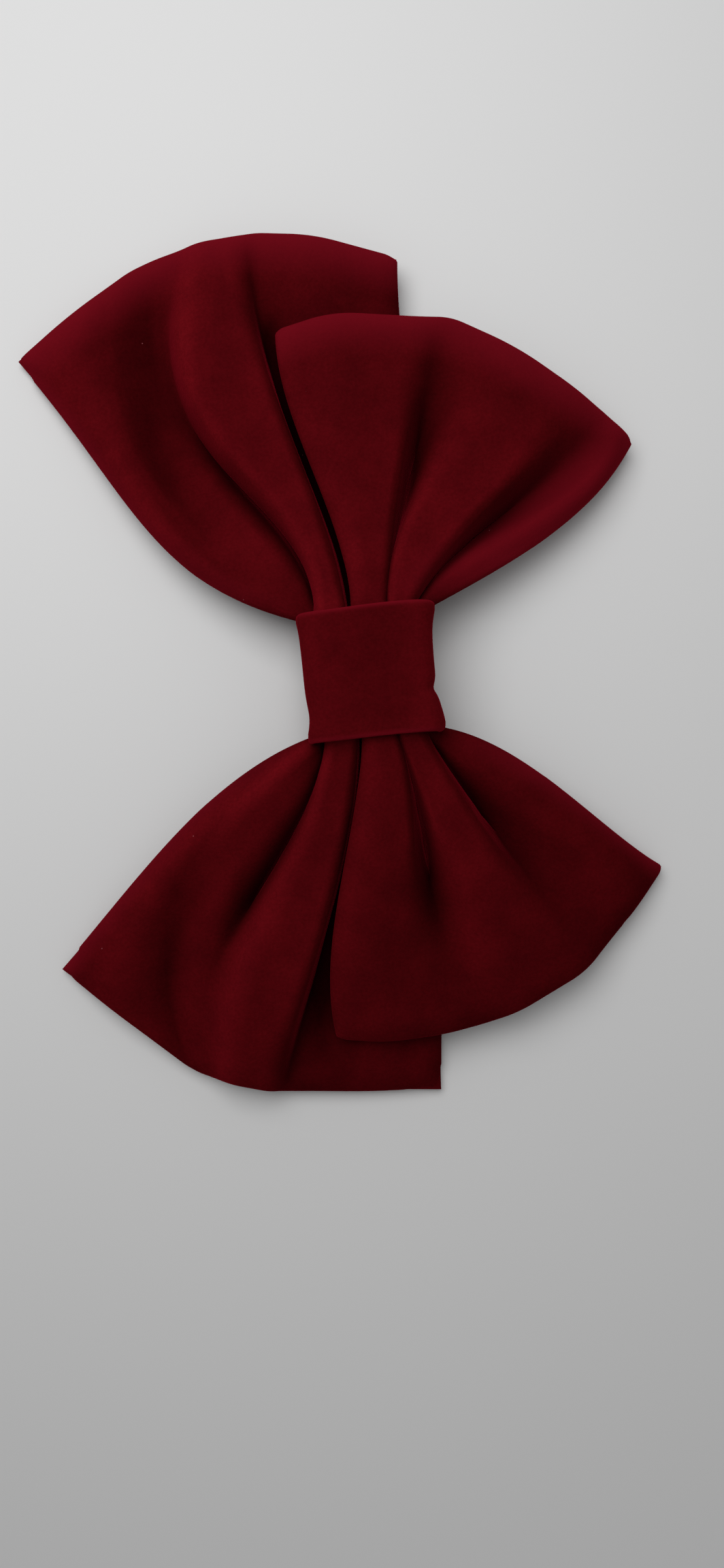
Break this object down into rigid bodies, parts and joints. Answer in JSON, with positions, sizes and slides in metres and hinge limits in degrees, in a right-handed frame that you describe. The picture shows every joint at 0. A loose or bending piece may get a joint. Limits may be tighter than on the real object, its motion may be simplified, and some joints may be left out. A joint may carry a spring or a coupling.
{
  "type": "bow tie",
  "caption": "Wide pre-tied velvet bow tie: two pleated double-layer bows offset over each other, gathered under a square velvet band, with a sprung collar clip behind.",
  "frame": {"origin": "middle of the flat outer face of the clip lever, on the surface that the bow lies on face up", "axes": "+Z out of the face of the bow, +Y along the bow from wing tips to wing tips, +X across it, towards the side that the front bow is offset to"},
  "size_m": [0.138, 0.1925, 0.0231],
  "materials": {
    "velvet_face": "short dark red pile, turned edges",
    "velvet_backing": "short dark red pile, underside",
    "velvet_band": "short dark red pile, wrapped and lapped",
    "interlining": "plain woven cotton",
    "thread": "twisted polyester sewing thread",
    "clip_steel": "nickel-plated pressed sheet steel",
    "spring_steel": "drawn spring wire"
  },
  "bodies": {
    "bow": {"back_bow_face": "velvet_face", "back_bow_interlining": "interlining", "back_bow_backing": "velvet_backing", "front_bow_face": "velvet_face", "front_bow_interlining": "interlining", "front_bow_backing": "velvet_backing", "waist_thread": "thread", "knot_band": "velvet_band", "band_lining": "interlining", "band_stitches": "thread", "clip_base": "clip_steel", "clip_pin": "clip_steel", "clip_spring": "spring_steel", "clip_stitches": "thread"},
    "lever": {"clip_lever": "clip_steel"}
  },
  "joints": [
    {"name": "clip_open", "type": "hinge", "parent": "bow", "child": "lever", "pos_m": [-0.002, 0, 0.00255], "axis": [0, 1, 0], "range_deg": [0, 16], "stiffness_Nm_per_rad": 0.06, "deforming": ["clip_spring"]}
  ]
}
